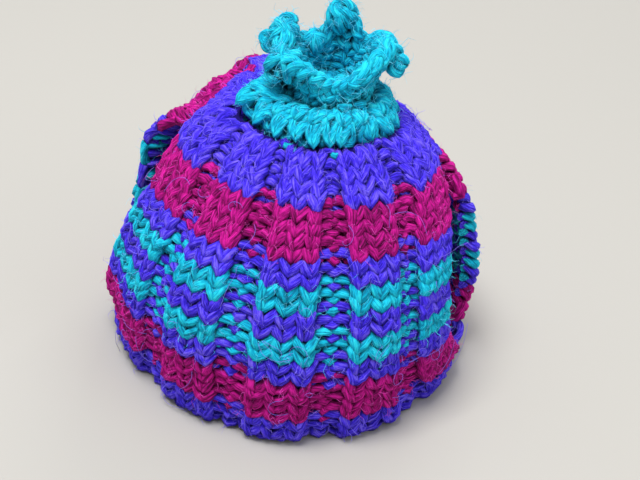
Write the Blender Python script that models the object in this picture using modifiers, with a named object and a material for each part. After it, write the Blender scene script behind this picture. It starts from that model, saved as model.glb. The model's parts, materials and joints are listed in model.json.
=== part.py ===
"""Knitted tea cosy: two ribbed panels, a crocheted collar and a crocheted flower.

The cosy stands open side down on the plane z = 0, as it does over a round pot.
The front panel faces -Y, the spout slit is on -X and the handle slit on +X.
Lengths are in metres once they reach a mesh; the tables are in millimetres and degrees.
"""

import math

import bpy
import numpy as np

MM = 0.001

# ---- driving sizes -------------------------------------------------------
PANEL_THICKNESS = 5.0      # doubled wool in knit and purl rib
RIB_RELIEF = 3.4           # depth of the purl valleys below the knit ribs
STITCHES = 25              # across a panel: selvedge, K3 P2 four times, K3, selvedge
RIB_REPEAT = 5             # K3 P2
RIB_CENTRES = (2.5, 7.5, 12.5, 17.5, 22.5)
KNIT_ROWS = 24
EDGE_CURL_WIDTH = 16.0     # how far in from a slit the edge still turns
COLLAR_THICKNESS = 4.6
FLOWER_THICKNESS = 5.0
SEAM_GAP = 0.9             # clearance left between two sewn pieces

PANEL_COLUMNS = 42
PANEL_RINGS = 19

# Outline of the knitted body: knit row, outer radius, height of that row.
BODY_OUTLINE = np.array([
    # row  radius height
    (0.0, 73.0, 0.0),
    (2.0, 74.8, 10.5),
    (6.0, 76.4, 29.5),
    (8.0, 76.0, 40.5),
    (10.0, 74.6, 51.0),
    (12.0, 72.0, 61.5),
    (14.0, 68.4, 71.8),
    (16.0, 63.6, 81.6),
    (18.0, 58.0, 90.8),
    (20.0, 51.4, 99.4),
    (22.0, 43.4, 107.4),
    (24.0, 34.0, 114.3),
])

# Where the edges of a panel lie round the body, and how far they flare:
# knit row, start angle, end angle, start flare, end flare.
FRONT_EDGES = np.array([
    # row  start   end   flare  flare
    (0.0, -90.0, 90.0, 0.0, 0.0),
    (1.5, -90.0, 90.0, 0.0, 0.0),
    (4.0, -83.0, 72.0, 4.0, -0.5),
    (8.0, -80.0, 64.5, 3.5, -1.5),
    (12.0, -77.0, 63.5, 1.0, -1.5),
    (16.0, -71.0, 69.0, 0.0, 0.0),
    (19.0, -79.0, 82.0, 0.0, 0.0),
    (21.0, -90.0, 90.0, 0.0, 0.0),
    (24.0, -90.0, 90.0, 0.0, 0.0),
])
BACK_EDGES = np.array([
    # row  start   end   flare  flare
    (0.0, 90.0, 270.0, 0.0, 0.0),
    (1.5, 90.0, 270.0, 0.0, 0.0),
    (4.0, 93.0, 262.0, 1.0, 2.0),
    (8.0, 92.0, 256.0, 1.5, 1.0),
    (12.0, 91.0, 254.0, 2.5, 3.0),
    (16.0, 90.0, 253.0, 5.0, 8.0),
    (19.0, 92.0, 258.0, 4.0, 5.0),
    (21.0, 90.0, 270.0, 0.0, 0.0),
    (24.0, 90.0, 270.0, 0.0, 0.0),
])

# Angles of the rib centres at a panel's middle; the outer ribs follow the edges.
FRONT_RIB_ANGLES = {"inner": (-30.0, 0.0, 31.0), "outer_share": (0.72, 0.80)}
BACK_RIB_ANGLES = {"inner": (149.0, 180.0, 211.0), "outer_share": (0.72, 0.72)}

# Where the knitting is gathered into the collar: direction, radius of that line.
CROWN_JOINT = np.array([
    # angle  radius
    (-180.0, 28.0),
    (-140.0, 26.5),
    (-105.0, 26.0),
    (-84.0, 30.0),
    (-62.0, 34.2),
    (-35.0, 33.6),
    (0.0, 34.0),
    (40.0, 34.4),
    (83.0, 36.5),
    (119.0, 31.5),
    (150.0, 29.0),
    (180.0, 28.0),
])
GATHER_RISE = 0.42         # how much the dome rises for each mm it is drawn further in
GATHER_FROM_ROW = 16.0

# The back panel stands out in a full shoulder beside the collar, on the spout side.
SHOULDER_ANGLE = 218.0
SHOULDER_WIDTH = 29.0
SHOULDER_OUT = 8.5
SHOULDER_ROWS = (13.5, 20.0)   # rows over which it swells

# Outline of the collar: share of its width and of its rise, from the knitting to the neck.
COLLAR_OUTLINE = np.array([
    # width rise
    (0.0, 0.0),
    (0.16, 0.42),
    (0.42, 0.72),
    (0.72, 0.88),
    (1.0, 1.0),
])
COLLAR_INNER_RADIUS = 17.7
COLLAR_TOP = 123.8
COLLAR_SIDES = 40
# One side of the collar's outer edge lifts off the knitting, toward the spout.
FLAP_ANGLE = -72.0
FLAP_WIDTH = 24.0
FLAP_LIFT = 3.2

# The flower stands off the middle, toward the handle: centre in x and y.
FLOWER_CENTRE = (6.0, -2.0)
# Outline of the flower: radius and height of its outer face, from the closed foot up.
FLOWER_OUTLINE = np.array([
    # radius height
    (8.5, 119.6),
    (15.5, 120.4),
    (16.4, 123.8),
    (17.0, 127.0),
])
# Petals: direction, half width, tip radius, tip height, radius of the rolled tip.
PETALS = np.array([
    # angle  half  radius height roll
    (4.0, 78.0, 22.5, 142.0, 6.2),
    (84.0, 44.0, 16.5, 149.0, 6.4),
    (128.0, 24.0, 16.0, 138.5, 4.6),
    (166.0, 40.0, 23.5, 143.0, 6.0),
    (208.0, 70.0, 23.5, 136.5, 6.2),
])
NOTCH_RADIUS = 16.6
NOTCH_HEIGHT = 130.5
PETAL_FULLNESS = 1.12
ROLL_INSET = 2.6           # how far the rolled tip's middle lies inside the petal's end
FLOWER_SIDES = 36
FLOWER_RINGS = 6


def catmull(table, x):
    """Value of every column of a table at x, on a smooth curve through its rows."""
    keys = table[:, 0]
    i = int(np.clip(np.searchsorted(keys, x) - 1, 0, len(keys) - 2))
    before = table[max(i - 1, 0), 1:]
    start = table[i, 1:]
    end = table[i + 1, 1:]
    after = table[min(i + 2, len(keys) - 1), 1:]
    t = (x - keys[i]) / (keys[i + 1] - keys[i])
    slope_in = (end - before) * 0.5
    slope_out = (after - start) * 0.5
    value = (
        start * (2 * t**3 - 3 * t**2 + 1)
        + slope_in * (t**3 - 2 * t**2 + t)
        + end * (-2 * t**3 + 3 * t**2)
        + slope_out * (t**3 - t**2)
    )
    return np.clip(value, np.minimum(start, end), np.maximum(start, end))


def smooth_step(t):
    """0 to 1 with level ends."""
    t = min(max(t, 0.0), 1.0)
    return t * t * (3 - 2 * t)


def rib_depth(stitch):
    """How far the surface sinks at this stitch: 0 on a knit rib, 1 in a purl valley."""
    across = (stitch - RIB_CENTRES[0]) / RIB_REPEAT
    turn = abs(across - round(across)) * 2
    if stitch < RIB_CENTRES[0] or stitch > RIB_CENTRES[-1]:
        return 0.0
    return smooth_step((turn - 0.42) / 0.36)


def puckers(angle, height):
    """Slow unevenness of hand knitting, in millimetres."""
    a = math.radians(angle)
    return (
        0.8 * math.sin(3 * a + 0.045 * height + 0.6)
        + 0.5 * math.sin(5 * a - 0.07 * height + 2.1)
    )


def rib_angle(stitch, start, end, ribs):
    """Angle round the body of a stitch, with the ribs spaced as they settle."""
    inner = ribs["inner"]
    first = inner[0] + (start - inner[0]) * ribs["outer_share"][0] * 0.82
    last = inner[2] + (end - inner[2]) * ribs["outer_share"][1] * 0.90
    places = (0.0,) + RIB_CENTRES + (float(STITCHES),)
    angles = (start, first) + inner + (last, end)
    return float(np.interp(stitch, places, angles))


def joint_radius(angle):
    """Radius at which the knitting meets the collar in one direction."""
    wrapped = (angle + 180.0) % 360.0 - 180.0
    return float(catmull(CROWN_JOINT, wrapped)[0])


def gather(angle, row):
    """How far the gathering moves the dome out and up at this knit row."""
    share = max(0.0, (row - GATHER_FROM_ROW) / (KNIT_ROWS - GATHER_FROM_ROW)) ** 1.6
    drawn = joint_radius(angle) - BODY_OUTLINE[-1, 1]
    return drawn * share, -drawn * GATHER_RISE * share


def shoulder(angle, row):
    """How far the full shoulder moves the dome out and up at this knit row."""
    off = (angle - SHOULDER_ANGLE + 180.0) % 360.0 - 180.0
    low, high = SHOULDER_ROWS
    swell = smooth_step((row - low) / (high - low)) * smooth_step((KNIT_ROWS - row) / 2.6)
    swell *= SHOULDER_OUT * math.exp(-((off / SHOULDER_WIDTH) ** 2))
    return 0.6 * swell, 0.8 * swell


def panel_point(stitch, row, edges, ribs):
    """Point on the outer face of a panel at a stitch and a knit row."""
    radius, height = catmull(BODY_OUTLINE, row)
    start, end, flare_start, flare_end = catmull(edges, row)
    seam = math.degrees(SEAM_GAP * 0.5 / radius)
    start = start + seam
    end = end - seam
    angle = rib_angle(stitch, start, end, ribs)
    from_start = math.radians(angle - start) * radius
    from_end = math.radians(end - angle) * radius
    turn_start = max(0.0, 1 - from_start / EDGE_CURL_WIDTH)
    turn_end = max(0.0, 1 - from_end / EDGE_CURL_WIDTH)
    radius += flare_start * turn_start**2 + flare_end * turn_end**2
    fade = smooth_step((KNIT_ROWS - row) / 5)
    radius -= RIB_RELIEF * rib_depth(stitch) * (0.45 + 0.55 * fade)
    radius += puckers(angle, height) * fade
    for outward, upward in (gather(angle, row), shoulder(angle, row)):
        radius += outward
        height += upward
    a = math.radians(angle)
    return (
        radius * math.sin(a) * MM,
        -radius * math.cos(a) * MM,
        height * MM,
    )


def new_object(name, collection, points, faces):
    """A mesh object from points and faces, shaded smooth."""
    mesh = bpy.data.meshes.new(name)
    mesh.from_pydata(points, [], faces)
    mesh.update()
    for polygon in mesh.polygons:
        polygon.use_smooth = True
    obj = bpy.data.objects.new(name, mesh)
    collection.objects.link(obj)
    return obj


def thicken(obj, thickness):
    """Give a sheet its thickness on the inner side."""
    shell = obj.modifiers.new("thickness", "SOLIDIFY")
    shell.thickness = thickness * MM
    shell.offset = -1.0
    shell.use_even_offset = True
    shell.use_rim = True


def give_material(obj, colour, roughness):
    """Its own Principled finish for one piece."""
    material = bpy.data.materials.new(obj.name + "_wool")
    material.use_nodes = True
    shader = material.node_tree.nodes["Principled BSDF"]
    shader.inputs["Base Color"].default_value = (*colour, 1.0)
    shader.inputs["Roughness"].default_value = roughness
    obj.data.materials.append(material)


def ring_rows():
    """Knit rows of a panel's rings; the first two share one outline, so the hem is flat."""
    rest = np.linspace(1.2, KNIT_ROWS, PANEL_RINGS - 1)
    return [0.0] + list(rest)


def build_panel(name, collection, edges, ribs):
    """One ribbed panel as a thick sheet."""
    points = []
    rows = ring_rows()
    hem_lift = 3.0
    for k, row in enumerate(rows):
        for j in range(PANEL_COLUMNS + 1):
            stitch = STITCHES * j / PANEL_COLUMNS
            points.append(panel_point(stitch, row, edges, ribs))
        if k == 0:
            for j in range(PANEL_COLUMNS + 1):
                x, y, z = points[j]
                points.append((x, y, hem_lift * MM))
    width = PANEL_COLUMNS + 1
    faces = []
    for k in range(len(rows)):
        for j in range(PANEL_COLUMNS):
            a = k * width + j
            faces.append((a, a + 1, a + 1 + width, a + width))
    obj = new_object(name, collection, points, faces)
    thicken(obj, PANEL_THICKNESS)
    return obj


def build_collar(collection):
    """Crocheted ring that closes the top of the panels round the neck."""
    points = []
    centre_x, centre_y = FLOWER_CENTRE
    for width, rise in COLLAR_OUTLINE:
        for j in range(COLLAR_SIDES):
            a = 2 * math.pi * j / COLLAR_SIDES
            joint = joint_radius(math.degrees(a))
            foot = BODY_OUTLINE[-1, 2] + (BODY_OUTLINE[-1, 1] - joint) * GATHER_RISE + SEAM_GAP
            edge = joint - SEAM_GAP
            inner_x = centre_x + COLLAR_INNER_RADIUS * math.sin(a)
            inner_y = centre_y - COLLAR_INNER_RADIUS * math.cos(a)
            middle = 4 * width * (1 - width)
            wave = (0.7 * math.sin(11 * a) + 0.8 * math.sin(4 * a + 1.0)) * middle
            x = edge * math.sin(a) * (1 - width) + inner_x * width
            y = -edge * math.cos(a) * (1 - width) + inner_y * width
            from_flap = (math.degrees(a) + 180.0) % 360.0 - 180.0 - FLAP_ANGLE
            flap = FLAP_LIFT * math.exp(-((from_flap / FLAP_WIDTH) ** 2)) * (1 - width)
            z = foot + (COLLAR_TOP - foot) * rise + wave + flap
            points.append((x * MM, y * MM, z * MM))
    faces = ring_faces(len(COLLAR_OUTLINE), COLLAR_SIDES)
    obj = new_object("crown_collar", collection, points, faces)
    thicken(obj, COLLAR_THICKNESS)
    return obj


def ring_faces(rings, sides):
    """Quads between closed rings, facing out when the rings run from low to high."""
    faces = []
    for k in range(rings - 1):
        for j in range(sides):
            a = k * sides + j
            b = k * sides + (j + 1) % sides
            faces.append((a, b, b + sides, a + sides))
    return faces


def petal_rim(angle):
    """Radius and height of the flower's rim in one direction."""
    radius = NOTCH_RADIUS
    height = NOTCH_HEIGHT
    for petal_angle, half_width, tip_radius, tip_height, _ in PETALS:
        off = abs((angle - petal_angle + 180) % 360 - 180)
        part = smooth_step((1 - off / half_width) * PETAL_FULLNESS)
        radius = max(radius, NOTCH_RADIUS + (tip_radius - NOTCH_RADIUS) * part)
        height = max(height, NOTCH_HEIGHT + (tip_height - NOTCH_HEIGHT) * part)
    return radius, height


def build_rolls(collection):
    """Balls for the rolled petal tips, joined to the flower and not shown themselves."""
    points = []
    faces = []
    rings = 6
    sides = 10
    for angle, _, tip_radius, tip_height, roll in PETALS:
        a = math.radians(angle)
        middle_x = FLOWER_CENTRE[0] + (tip_radius - ROLL_INSET) * math.cos(a)
        middle_y = FLOWER_CENTRE[1] + (tip_radius - ROLL_INSET) * math.sin(a)
        middle_z = tip_height - ROLL_INSET * 0.5
        first = len(points)
        points.append((middle_x * MM, middle_y * MM, (middle_z - roll) * MM))
        for k in range(1, rings):
            tilt = math.pi * k / rings
            for j in range(sides):
                turn = 2 * math.pi * (j + 0.5 * (k % 2)) / sides
                x = middle_x + roll * math.sin(tilt) * math.cos(turn)
                y = middle_y + roll * math.sin(tilt) * math.sin(turn)
                z = middle_z - roll * math.cos(tilt) * 0.92
                points.append((x * MM, y * MM, z * MM))
        points.append((middle_x * MM, middle_y * MM, (middle_z + roll) * MM))
        last = len(points) - 1
        for face in ring_faces(rings - 1, sides):
            faces.append(tuple(first + 1 + index for index in face))
        for j in range(sides):
            after = (j + 1) % sides
            faces.append((first, first + 1 + after, first + 1 + j))
            faces.append((last, last - sides + j, last - sides + after))
    rolls = new_object("petal_rolls", collection, points, faces)
    rolls.hide_render = True
    rolls.hide_set(True)
    return rolls


def build_flower(collection):
    """Tulip of five petals with rolled tips on the neck, hollow in the middle."""
    points = []
    neck = len(FLOWER_OUTLINE)
    centre_x, centre_y = FLOWER_CENTRE
    for k in range(neck + FLOWER_RINGS - 1):
        for j in range(FLOWER_SIDES):
            angle = 360 * j / FLOWER_SIDES
            rim_radius, rim_height = petal_rim(angle)
            if k < neck - 1:
                radius, height = FLOWER_OUTLINE[k]
            else:
                t = (k - neck + 1) / (FLOWER_RINGS - 1)
                base_radius, base_height = FLOWER_OUTLINE[-1]
                radius = base_radius + (rim_radius - base_radius) * t**1.25
                height = base_height + (rim_height - base_height) * t
            a = math.radians(angle)
            x = centre_x + radius * math.cos(a)
            y = centre_y + radius * math.sin(a)
            points.append((x * MM, y * MM, height * MM))
    rings = len(points) // FLOWER_SIDES
    faces = ring_faces(rings, FLOWER_SIDES)
    foot = len(points)
    points.append((centre_x * MM, centre_y * MM, FLOWER_OUTLINE[0][1] * MM))
    for j in range(FLOWER_SIDES):
        faces.append((foot, (j + 1) % FLOWER_SIDES, j))
    obj = new_object("crown_flower", collection, points, faces)
    thicken(obj, FLOWER_THICKNESS)
    join = obj.modifiers.new("rolled_tips", "BOOLEAN")
    join.operation = "UNION"
    join.solver = "EXACT"
    join.object = build_rolls(collection)
    return obj


def main():
    """Build the four pieces of the cosy."""
    for obj in list(bpy.data.objects):
        bpy.data.objects.remove(obj, do_unlink=True)
    cosy = bpy.data.collections.new("tea_cosy")
    bpy.context.scene.collection.children.link(cosy)
    violet = (0.08, 0.036, 0.75)
    teal = (0.005, 0.43, 0.53)
    front = build_panel("front_panel", cosy, FRONT_EDGES, FRONT_RIB_ANGLES)
    back = build_panel("back_panel", cosy, BACK_EDGES, BACK_RIB_ANGLES)
    collar = build_collar(cosy)
    flower = build_flower(cosy)
    give_material(front, violet, 0.95)
    give_material(back, violet, 0.95)
    give_material(collar, teal, 0.95)
    give_material(flower, teal, 0.95)


main()
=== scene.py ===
"""Looks of a knitted tea cosy: yarn, crochet, fuzz, light and camera.

Every strand is laid as a stitch would lie on the cloth and spun into plied yarn by
one Geometry Nodes tree. Lengths in the tables are in millimetres, angles in degrees.
"""

import json
import logging
import math
from dataclasses import dataclass, field
from enum import Enum
from typing import Callable, Dict, List, Optional, Sequence, Tuple

import bpy
import numpy as np
from mathutils import Matrix, Vector

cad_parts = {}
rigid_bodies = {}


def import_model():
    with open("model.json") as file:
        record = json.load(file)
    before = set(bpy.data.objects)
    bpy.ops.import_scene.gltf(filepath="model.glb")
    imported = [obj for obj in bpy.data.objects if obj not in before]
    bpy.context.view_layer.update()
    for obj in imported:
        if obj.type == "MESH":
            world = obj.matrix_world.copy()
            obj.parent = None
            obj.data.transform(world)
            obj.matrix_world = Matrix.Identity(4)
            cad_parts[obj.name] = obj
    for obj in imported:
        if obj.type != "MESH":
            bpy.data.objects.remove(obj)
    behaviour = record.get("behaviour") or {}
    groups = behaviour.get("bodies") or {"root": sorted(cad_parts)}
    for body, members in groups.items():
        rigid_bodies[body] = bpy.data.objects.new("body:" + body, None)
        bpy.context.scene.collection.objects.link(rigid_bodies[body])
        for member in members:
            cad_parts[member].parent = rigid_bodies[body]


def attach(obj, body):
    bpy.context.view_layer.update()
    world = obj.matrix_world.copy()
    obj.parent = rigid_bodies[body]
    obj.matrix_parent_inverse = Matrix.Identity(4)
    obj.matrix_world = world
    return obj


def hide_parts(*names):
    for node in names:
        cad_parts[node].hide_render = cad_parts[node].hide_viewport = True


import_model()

logging.basicConfig(level=logging.INFO, format="%(message)s")
LOG = logging.getLogger("tea_cosy")

MM = 0.001
SEED = 41
TABLE_CLEARANCE = 0.1         # mm; no yarn or fibre reaches lower than this


# --------------------------------------------------------------------------
# Small helpers
# --------------------------------------------------------------------------


def linear(hexcode: str) -> Tuple[float, ...]:
    """Turn an sRGB colour into a linear one.

    Args:
        hexcode: colour such as '#5035E0'.

    Returns:
        Linear red, green, blue and an alpha of one.
    """
    channels = []
    for start in (1, 3, 5):
        value = int(hexcode[start:start + 2], 16) / 255
        low = value / 12.92
        high = ((value + 0.055) / 1.055) ** 2.4
        channels.append(low if value <= 0.04045 else high)
    return (*channels, 1.0)


def smooth_step(t: np.ndarray) -> np.ndarray:
    """Ease shares from 0 to 1 with level ends."""
    t = np.clip(t, 0.0, 1.0)
    return t * t * (3 - 2 * t)


def along_table(table: np.ndarray, x: np.ndarray) -> np.ndarray:
    """Smooth curve through a table's rows.

    Args:
        table: rows whose first column is the key and the others the values.
        x: keys to read at.

    Returns:
        One row of values per key.
    """
    x = np.atleast_1d(np.asarray(x, float))
    keys = table[:, 0]
    last = len(keys) - 1
    i = np.clip(np.searchsorted(keys, x) - 1, 0, last - 1)
    before = table[np.maximum(i - 1, 0), 1:]
    start = table[i, 1:]
    end = table[i + 1, 1:]
    after = table[np.minimum(i + 2, last), 1:]
    t = ((x - keys[i]) / (keys[i + 1] - keys[i]))[:, None]
    value = (
        start * (2 * t**3 - 3 * t**2 + 1)
        + (end - before) * 0.5 * (t**3 - 2 * t**2 + t)
        + end * (-2 * t**3 + 3 * t**2)
        + (after - start) * 0.5 * (t**3 - t**2)
    )
    low = np.minimum(start, end)
    high = np.maximum(start, end)
    inside = (t >= 0) & (t <= 1)
    return np.where(inside, np.clip(value, low, high), value)


# --------------------------------------------------------------------------
# Colours and finishes
# --------------------------------------------------------------------------


class Dye(Enum):
    """The three dye lots of the yarn."""

    VIOLET = "violet"
    MAGENTA = "magenta"
    TEAL = "teal"


class Face(Enum):
    """Which face of a stitch shows."""

    KNIT = 1.0
    PURL = -1.0


def add_node(
    tree: bpy.types.NodeTree, kind: str, settings: Optional[Dict] = None, **links: bpy.types.NodeSocket
) -> bpy.types.Node:
    """Add one node with its settings and links.

    Args:
        tree: the tree to add to.
        kind: node type name.
        settings: attribute values by name, and input values by name or number.
        links: input name (spaces as underscores, a number as _0) to the socket that feeds it.

    Returns:
        The new node.
    """
    node = tree.nodes.new(kind)
    for name, value in (settings or {}).items():
        if isinstance(name, str) and hasattr(node, name):
            setattr(node, name, value)
        else:
            node.inputs[name].default_value = value
    for name, socket in links.items():
        key = int(name[1:]) if name[0] == "_" else name.replace("_", " ")
        tree.links.new(socket, node.inputs[key])
    return node


def new_tree(name: str, inputs: Dict[str, str]) -> bpy.types.NodeTree:
    """An empty Geometry Nodes tree with named inputs.

    Args:
        name: name of the tree.
        inputs: input name to kind of socket.

    Returns:
        The tree, with a geometry input and a geometry output as well.
    """
    tree = bpy.data.node_groups.new(name, "GeometryNodeTree")
    for label, kind in {"Geometry": "Geometry", **inputs}.items():
        tree.interface.new_socket(label, in_out="INPUT", socket_type="NodeSocket" + kind)
    tree.interface.new_socket("Geometry", in_out="OUTPUT", socket_type="NodeSocketGeometry")
    return tree


def finish_tree(
    tree: bpy.types.NodeTree, made: bpy.types.NodeSocket, wool: bpy.types.NodeSocket
) -> None:
    """End a tree: real geometry, in its wool.

    Args:
        tree: the tree to end.
        made: socket with the finished geometry.
        wool: socket with the material.
    """
    real = add_node(tree, "GeometryNodeRealizeInstances", Geometry=made)
    dyed = add_node(
        tree, "GeometryNodeSetMaterial", Geometry=real.outputs["Geometry"], Material=wool
    )
    add_node(tree, "NodeGroupOutput", Geometry=dyed.outputs["Geometry"])


def lay(name: str, mesh: bpy.types.Mesh) -> bpy.types.Object:
    """Put a mesh in the scene as an object at the origin."""
    made = bpy.data.objects.new(name, mesh)
    bpy.context.scene.collection.objects.link(made)
    return made


def cloth_mesh(
    name: str,
    points: np.ndarray,
    faces: List[Tuple[int, ...]],
    finishes: Sequence[bpy.types.Material],
    slots: Optional[List[int]] = None,
) -> bpy.types.Object:
    """A smooth piece of cloth from its points and faces.

    Args:
        name: name of the piece.
        points: corners in metres.
        faces: corner numbers of each face.
        finishes: the materials.
        slots: which material each face has, or None for the first.

    Returns:
        The piece as a mesh object.
    """
    mesh = bpy.data.meshes.new(name)
    mesh.from_pydata(points.tolist(), [], faces)
    for finish in finishes:
        mesh.materials.append(finish)
    if slots:
        mesh.polygons.foreach_set("material_index", slots)
    mesh.polygons.foreach_set("use_smooth", [True] * len(faces))
    mesh.update()
    return lay(name, mesh)


def dress(pieces: Sequence[bpy.types.Object], node: str) -> None:
    """Hand pieces to the frame.

    Args:
        pieces: finished mesh objects.
        node: the solid they stand for.
    """
    for piece in pieces:
        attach(piece, "root")
        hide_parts(node)


@dataclass(frozen=True)
class Wool:
    """Fuzzy loose-plied wool: matt fibres, lit softly from every side, streaked along the strand, with
    painted shade where strands meet.
    """

    name: str
    bright: str
    body: str
    shade: str
    # deep: painted shade, the colour the strand is mixed toward where strands meet in the creases
    deep: str
    sheen: float = 0.35
    heather_scale: float = 210.0  # flecks to the metre: each 4.8 mm, about a strand's width
    streak_scale: float = 2.4     # times the drawing-out: a streak is 5.2 mm long
    drawn_out: Tuple[float, float, float] = (80.0, 1.15, 1.15)
    crease_shade_reach: float = 4.5     # mm, about one strand: painted shade only where strands meet
    streak_relief: float = 1.0    # mm, coarser than real fibres so that they show
    spread: Tuple[float, float, float] = (0.36, 0.52, 0.70)  # shade, body and bright on the ramp

    def colour(self, tree: bpy.types.NodeTree, streaks: bpy.types.Node) -> bpy.types.NodeSocket:
        """Streaked and heathered colour of the strand, with painted shade: mixed toward the deep colour
        in the creases.

        Args:
            tree: the material's tree.
            streaks: the noise drawn out along the fibres.

        Returns:
            The colour socket.
        """
        place = add_node(tree, "ShaderNodeTexCoord")
        heather = add_node(
            tree,
            "ShaderNodeTexNoise",
            {"Scale": self.heather_scale, "Detail": 3.0, "Roughness": 0.6},
            Vector=place.outputs["Object"],
        )
        weigh = {"operation": "MULTIPLY_ADD"}
        mixed = add_node(
            tree, "ShaderNodeMath", {**weigh, 1: 0.4, 2: -0.29}, _0=heather.outputs["Fac"]
        )
        total = add_node(
            tree,
            "ShaderNodeMath",
            {**weigh, 1: 1.22},
            _0=streaks.outputs["Fac"],
            _2=mixed.outputs[0],
        )
        ramp = add_node(tree, "ShaderNodeValToRGB", Fac=total.outputs[0])
        stops = ramp.color_ramp.elements
        stops.new(self.spread[1])
        for stop, at, shown in zip(stops, self.spread, (self.shade, self.body, self.bright)):
            stop.position = at
            stop.color = linear(shown)
        # Painted shade: an occlusion probe finds where strands meet, and the colour there is mixed
        # toward the deep colour.
        crease = add_node(
            tree, "ShaderNodeAmbientOcclusion", {"samples": 4, "Distance": self.crease_shade_reach * MM}
        )
        open_part = add_node(
            tree,
            "ShaderNodeMapRange",
            {"From Min": 0.12, "From Max": 0.78, "To Min": 0.0, "To Max": 1.0},
            Value=crease.outputs["AO"],
        )
        shaded = add_node(
            tree,
            "ShaderNodeMix",
            {"data_type": "RGBA", 6: linear(self.deep)},
            _0=open_part.outputs["Result"],
            _7=ramp.outputs["Color"],
        )
        return shaded.outputs[2]

    def material(self) -> bpy.types.Material:
        """Build the Principled wool with fibre streaks and a heathered colour."""
        made = bpy.data.materials.new(self.name)
        made.use_nodes = True
        tree = made.node_tree
        fibre = add_node(tree, "ShaderNodeAttribute", {"attribute_name": "fibre"})
        drawn_out = add_node(
            tree, "ShaderNodeMapping", {"Scale": self.drawn_out}, Vector=fibre.outputs["Vector"]
        )
        streaks = add_node(
            tree,
            "ShaderNodeTexNoise",
            {"Scale": self.streak_scale, "Detail": 3.0, "Roughness": 0.7},
            Vector=drawn_out.outputs["Vector"],
        )
        bump = add_node(
            tree,
            "ShaderNodeBump",
            {"Strength": 0.9, "Distance": self.streak_relief * MM},
            Height=streaks.outputs["Fac"],
        )
        shader = tree.nodes["Principled BSDF"]
        tree.links.new(self.colour(tree, streaks), shader.inputs["Base Color"])
        tree.links.new(bump.outputs["Normal"], shader.inputs["Normal"])
        for socket, value in (
            ("Roughness", 0.92),
            ("IOR", 1.54),
            ("Specular IOR Level", 0.18),
            ("Sheen Weight", self.sheen),
            ("Sheen Roughness", 0.55),
            ("Sheen Tint", linear(self.bright)),
        ):
            shader.inputs[socket].default_value = value
        return made


@dataclass(frozen=True)
class Plain:
    """A smooth single-colour finish for the floor or the cloth behind the yarn, whose dark colour is
    painted shade.
    """

    name: str
    colour: str
    roughness: float = 0.9

    def material(self) -> bpy.types.Material:
        """Build the plain Principled finish."""
        made = bpy.data.materials.new(self.name)
        made.use_nodes = True
        shader = made.node_tree.nodes["Principled BSDF"]
        shader.inputs["Base Color"].default_value = linear(self.colour)
        shader.inputs["Roughness"].default_value = self.roughness
        shader.inputs["Specular IOR Level"].default_value = 0.1
        return made


Finishes = Dict[Dye, bpy.types.Material]

WOOLS: Dict[Dye, Wool] = {
    # dye: bright, body and shade colour of the strand, and the deep colour of its painted crease shade
    Dye.VIOLET: Wool("violet_wool", "#806AFF", "#4930F8", "#2414AC", "#0C0748"),
    Dye.MAGENTA: Wool("magenta_wool", "#EA22AA", "#B2097E", "#5C0240", "#240118"),
    Dye.TEAL: Wool("teal_wool", "#34F0FF", "#0AC2E8", "#0480A6", "#013248"),
}

FIBRES: Dict[Dye, Plain] = {
    Dye.VIOLET: Plain("violet_fibre", "#8E7CFF", 0.7),
    Dye.MAGENTA: Plain("magenta_fibre", "#EA56C4", 0.7),
    Dye.TEAL: Plain("teal_fibre", "#64DCFA", 0.7),
}

# Painted shade: dark copies of each dye for the cloth behind the yarn, standing for the shadow that
# falls between the strands.
SHADE_CLOTHS: Dict[Dye, Plain] = {
    Dye.VIOLET: Plain("violet_heart", "#1C1064"),
    Dye.MAGENTA: Plain("magenta_heart", "#4A0430"),
    Dye.TEAL: Plain("teal_heart", "#033A4A"),
}


class Palette:
    """Every finish of the cosy, made once."""

    def __init__(self) -> None:
        """Dye the three yarns, their loose fibres, and the cloth behind them in painted shade."""
        self.wool: Finishes = {dye: finish.material() for dye, finish in WOOLS.items()}
        self.fibre: Finishes = {dye: finish.material() for dye, finish in FIBRES.items()}
        self.shade_cloth: Finishes = {dye: finish.material() for dye, finish in SHADE_CLOTHS.items()}


# --------------------------------------------------------------------------
# The cloth's shape
# --------------------------------------------------------------------------

BODY_OUTLINE = np.array([
    # row  radius height
    (0.0, 73.0, 0.0),
    (2.0, 74.8, 10.5),
    (6.0, 76.4, 29.5),
    (8.0, 76.0, 40.5),
    (10.0, 74.6, 51.0),
    (12.0, 72.0, 61.5),
    (14.0, 68.4, 71.8),
    (16.0, 63.6, 81.6),
    (18.0, 58.0, 90.8),
    (20.0, 51.4, 99.4),
    (22.0, 43.4, 107.4),
    (24.0, 34.0, 114.3),
])

FRONT_EDGES = np.array([
    # row  start   end   flare  flare
    (0.0, -90.0, 90.0, 0.0, 0.0),
    (1.5, -90.0, 90.0, 0.0, 0.0),
    (4.0, -83.0, 72.0, 4.0, -0.5),
    (8.0, -80.0, 64.5, 3.5, -1.5),
    (12.0, -77.0, 63.5, 1.0, -1.5),
    (16.0, -71.0, 69.0, 0.0, 0.0),
    (19.0, -79.0, 82.0, 0.0, 0.0),
    (21.0, -90.0, 90.0, 0.0, 0.0),
    (24.0, -90.0, 90.0, 0.0, 0.0),
])

BACK_EDGES = np.array([
    # row  start   end   flare  flare
    (0.0, 90.0, 270.0, 0.0, 0.0),
    (1.5, 90.0, 270.0, 0.0, 0.0),
    (4.0, 93.0, 262.0, 1.0, 2.0),
    (8.0, 92.0, 256.0, 1.5, 1.0),
    (12.0, 91.0, 254.0, 2.5, 3.0),
    (16.0, 90.0, 253.0, 5.0, 8.0),
    (19.0, 92.0, 258.0, 4.0, 5.0),
    (21.0, 90.0, 270.0, 0.0, 0.0),
    (24.0, 90.0, 270.0, 0.0, 0.0),
])

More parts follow.
